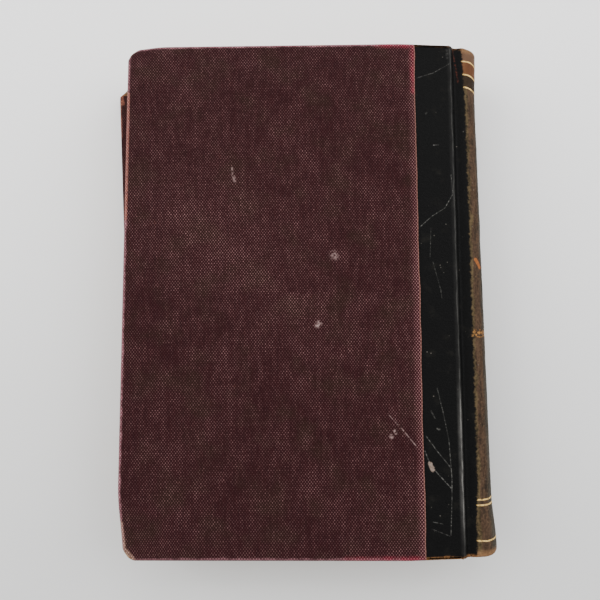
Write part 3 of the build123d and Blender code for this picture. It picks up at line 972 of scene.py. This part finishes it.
def page_block(material):
    """The leaves: many thin levels, each a little out of line with the next."""
    levels = np.linspace(-PAGES_THICKNESS / 2, PAGES_THICKNESS / 2, 104)
    random = np.random.RandomState(7)
    half_y = HALF_HEIGHT - HEAD_SQUARE
    rings = []
    gathering = 0.12 * np.sin(levels * 2 * pi / 1.9)
    for index, level in enumerate(levels):
        edge = level / (PAGES_THICKNESS / 2)
        fore = PAGE_FORE_U + FORE_EDGE_HOLLOW * (1 - edge**2)
        fore = fore + random.uniform(0.0, 0.22) + gathering[index] * 0.5
        spine = RIDGE_U + PAGES_BULGE * np.sqrt(1 - (level / SHOULDER_HALF) ** 2) - 0.03
        head = half_y - random.uniform(0, 0.12) - abs(gathering[index]) * 0.4
        tail = -half_y + random.uniform(0, 0.16) + abs(gathering[index]) * 0.4
        us = np.linspace(fore, spine, 26)
        ys = np.linspace(tail, head, 34)
        ring_u = np.concatenate([us[:-1], 0 * ys[:-1] + spine, us[:0:-1], 0 * ys[:0:-1] + fore])
        ring_y = np.concatenate([0 * us[:-1] + tail, ys[:-1], 0 * us[:0:-1] + head, ys[:0:-1]])
        rings.append(cock(ring_u, ring_y, 0 * ring_u + level))
    made = stacked_rings("page_block", np.array(rings), material)
    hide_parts("pages")
    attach(made, "text_block")


def endpaper(side, sign, material):
    """One folded sheet: half pasted to the board, half free on the pages, bending at the fold."""
    leaf_u = spaced(PAGE_FORE_U, FOLD_U - 0.2, 2.4)
    wall_depth = np.linspace(PASTED_DEPTH + PAPER, LEAF_DEPTH, 10)
    u = np.concatenate([leaf_u, 0 * wall_depth + FOLD_U, leaf_u[::-1]])
    depth = np.concatenate([0 * leaf_u + wall_depth[0], wall_depth, 0 * leaf_u + wall_depth[-1]])
    y = spaced(-(HALF_HEIGHT - HEAD_SQUARE), HALF_HEIGHT - HEAD_SQUARE, 3.0)
    grid_u, grid_y = np.meshgrid(u, y, indexing="ij")
    grid_v = np.broadcast_to((MIDDLE - depth)[:, None], grid_u.shape)
    grid = cock(grid_u, grid_y, sign * grid_v, sign)
    unrolled = np.cumsum(np.concatenate([[0], np.hypot(np.diff(u), np.diff(depth))]))
    flat = flat_places(unrolled, grid_y)
    name = side + "_folded_endpaper"
    made = thick_sheet(name, grid, flat, PAPER, material, faces_outward(-sign, slice(5, 30), slice(5, 30)))
    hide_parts(side + "_endpaper")
    start = cock(FOLD_U, 0.0, sign * (MIDDLE - LEAF_DEPTH), sign)
    end = cock(FOLD_U, 0.0, sign * (MIDDLE - PASTED_DEPTH - PAPER), sign)
    end[:2] = start[:2]
    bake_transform(made)


def mull_half(side, sign, material):
    """One half of the lining: a wing glued inside the board, the joint, and half of the back."""
    level = MIDDLE - MULL_DEPTH
    bend_u = RIDGE_U - 2
    flat_u = np.concatenate([spaced(BOARD_U - MULL_WING, bend_u, 2.0), spaced(bend_u, RIDGE_U, 0.25)[1:]])
    bulge = PAGES_BULGE + 0.3
    round_off = 0.5523
    handle = (RIDGE_U + round_off * bulge, level)
    crown = (RIDGE_U + bulge, round_off * level)
    back = bezier([(RIDGE_U, level), handle, crown, (RIDGE_U + bulge, 0)], 16)
    profile = np.concatenate([[(u, level) for u in flat_u], back])
    length = profile_lengths(profile)
    y = spaced(-MULL_HALF_HEIGHT, MULL_HALF_HEIGHT, 4.0)
    grid_u, grid_y = np.meshgrid(profile[:, 0], y, indexing="ij")
    grid_v = np.broadcast_to(profile[:, 1:], grid_u.shape)
    share = np.where(profile[:, 0] < RIDGE_U, 1.0, np.clip(profile[:, 1] / level, 0, 1))[:, None]
    grid = cock(grid_u, grid_y, sign * grid_v, sign * np.broadcast_to(share, grid_u.shape))
    flat = flat_places(length, grid_y)
    outward = faces_outward(sign, slice(1, 8), slice(5, 20))
    made = thick_sheet(side + "_half_lining", grid, flat, LINING_THICKNESS, material, outward)
    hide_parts("mull_lining")
    start = cock(RIDGE_U + 0.2, 0.0, sign * level, sign)
    end = cock(RIDGE_U - 1.6, 0.0, sign * level, sign)
    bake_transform(made)


def back_stiffener(material):
    """Stiff paper inside the leather of the back, which stops short of the worn headcap and tailcap."""
    profile = leather_profile()
    length = profile_lengths(profile)
    inner = profile - profile_normals(profile) * STIFFENER_DEPTH
    inner = inner[length > length[-1] - STIFFENER_HALF]
    across = np.concatenate([inner, inner[-2::-1] * [1, -1]])
    y_lines = spaced(-STIFFENER_HALF_HEIGHT, STIFFENER_HALF_HEIGHT, 3.0)
    y = np.broadcast_to(y_lines, (len(across), len(y_lines)))
    slip = np.clip((across[:, :1] - RIDGE_U) / 7.0, 0, 1)
    y = y - BACK_SLIP * slip * (1 + BACK_SLIP_GROWTH * y)
    u = np.broadcast_to(across[:, :1], y.shape)
    v = np.broadcast_to(across[:, 1:], y.shape)
    grid = cock(u, y, v, np.clip(v / RIDGE_HALF, -1, 1))
    flat = flat_places(profile_lengths(across), y)
    crown = len(across) // 2
    outward = lambda normals: normals[crown, :, 0].mean() > 0
    made = thick_sheet("back_stiffener", grid, flat, STIFFENER_THICKNESS, material, outward)
    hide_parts("spine_inlay")
    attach(made, "text_block")


def sewn_band(name, end, material):
    """A sewn band along the end of the pages' spine, ribbed by its thread."""
    radius = BAND_RADIUS
    half = SHOULDER_HALF - BAND_INSET
    bulge = PAGES_BULGE - BAND_INSET
    angles = np.linspace(-pi / 2 + 0.12, pi / 2 - 0.12, 170)
    path_u = RIDGE_U + bulge * np.cos(angles)
    path_v = half * np.sin(angles)
    path_y = end * (HALF_HEIGHT - HEAD_SQUARE + radius + 0.15)
    centres = cock(path_u, 0 * path_u + path_y, path_v)
    tangent = np.gradient(centres, axis=0)
    tangent /= np.linalg.norm(tangent, axis=1, keepdims=True)
    side = np.array([0.0, 1.0, 0.0]) - tangent * tangent[:, 1:2]
    side /= np.linalg.norm(side, axis=1, keepdims=True)
    over = np.cross(tangent, side)
    turns = np.linspace(0, 2 * pi, 11)[:-1]
    run = np.concatenate([[0], np.cumsum(np.linalg.norm(np.diff(centres, axis=0), axis=1))]) / MM
    ribs = (radius + 0.07 * np.abs(np.sin(run * pi / 0.4))) * MM
    ribs[[0, -1]] *= 0.3
    grid = centres[:, None] + ribs[:, None, None] * (
        side[:, None] * np.cos(turns)[None, :, None] + over[:, None] * np.sin(turns)[None, :, None]
    )
    around = np.arange(len(turns))[None, :] * 0.45
    uv = np.stack(np.broadcast_arrays(run[:, None], around), axis=-1).reshape(-1, 2)
    made = stacked_rings(name, grid, material, uv)
    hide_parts(name.replace("sewn_", ""))
    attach(made, "text_block")


def give(node, material):
    """A CAD node keeps its shape and takes this material."""
    target = frame["nodes"][node]
    for slot in target.material_slots:
        slot.material = material


# The scene: camera, floor and soft light
def camera():
    """Almost straight down on the rear cover, tipped a little towards the tail."""
    place = Vector((8.05, -25.4, 225.15)) * MM
    turn = Euler((radians(5.71), radians(1.01), radians(-0.26)), "XYZ").to_matrix().to_4x4()
    cover = Matrix.Translation(Vector(cock(0.0, 0.0, MIDDLE, 1.0))) @ Matrix.Rotation(-TWIST, 4, "Z")
    data = bpy.data.cameras.new("camera")
    data.sensor_width = 36.0
    data.lens = 37.2
    data.clip_start = 0.01
    made = bpy.data.objects.new("camera", data)
    made.matrix_world = cover @ Matrix.Translation(place) @ turn
    bpy.context.scene.collection.objects.link(made)
    bpy.context.scene.camera = made


def studio():
    """A pale floor, painted darker towards the tail as painted shade, pale surroundings and three large
    soft lamps.
    """
    s = Surface("pale_floor")
    _, y, _ = s.parts(s.placed())
    # Painted shade: the floor's colour darkens from the head side to the tail side
    s.set("Base Color", s.mix(s.step(y, -0.16, 0.16), (0.66, 0.66, 0.655, 1.0), (0.98, 0.975, 0.975, 1.0)))
    s.set("Roughness", 0.95)
    s.set("Specular IOR Level", 0.0)
    mesh = bpy.data.meshes.new("floor")
    reach = 3.0
    corners = [(-reach, -reach, 0), (reach, -reach, 0), (reach, reach, 0), (-reach, reach, 0)]
    mesh.from_pydata(corners, [], [(0, 1, 2, 3)])
    mesh.materials.append(s.material)
    floor = bpy.data.objects.new("floor", mesh)
    floor.location.z = cad_low.z - 0.00005
    bpy.context.scene.collection.objects.link(floor)
    world = bpy.data.worlds.new("surroundings")
    world.use_nodes = True
    world.node_tree.nodes["Background"].inputs[0].default_value = (1.0, 1.0, 1.0, 1.0)
    world.node_tree.nodes["Background"].inputs[1].default_value = 0.92
    bpy.context.scene.world = world
    for name, place, size, energy in (
        ("left_lamp", (-0.85, 0.3, 0.75), 0.9, 11.0),
        ("right_lamp", (0.85, 0.3, 0.75), 0.9, 11.0),
        ("head_lamp", (0.0, 0.8, 0.9), 0.8, 6.0),
    ):
        data = bpy.data.lights.new(name, "AREA")
        data.size = size
        data.energy = energy
        lamp = bpy.data.objects.new(name, data)
        lamp.location = place
        lamp.rotation_euler = (-Vector(place)).to_track_quat("-Z", "Y").to_euler()
        bpy.context.scene.collection.objects.link(lamp)


camera()
studio()

profile = leather_profile()
lengths = profile_lengths(profile)
crown_s = lengths[-1]
ridge_s = float(np.interp(RIDGE_U, profile[:, 0], lengths))
cloth = {side: cloth_material(side) for side in ("rear", "front")}
leather = leather_material(ridge_s, crown_s)
page_edges = page_material()
endpaper_paper = paper_material("endpaper", colour(212, 196, 162), colour(194, 174, 136))
kraft = paper_material("kraft", colour(168, 136, 92), colour(140, 110, 74))
millboard = board_material()
mull = mull_material()
thread = band_material()

for side, sign, seed in (("rear", 1, 11), ("front", -1, 51)):
    cover_cloth(side, sign, cloth[side], seed)
    leather_half(side, sign, leather)
    endpaper(side, sign, endpaper_paper)
    mull_half(side, sign, mull)
    give(side + "_infill", kraft)
page_block(page_edges)
sewn_band("sewn_head_band", 1, thread)
sewn_band("sewn_tail_band", -1, thread)
back_stiffener(kraft)
worn_board("rear", 1, millboard)
worn_board("front", -1, millboard)
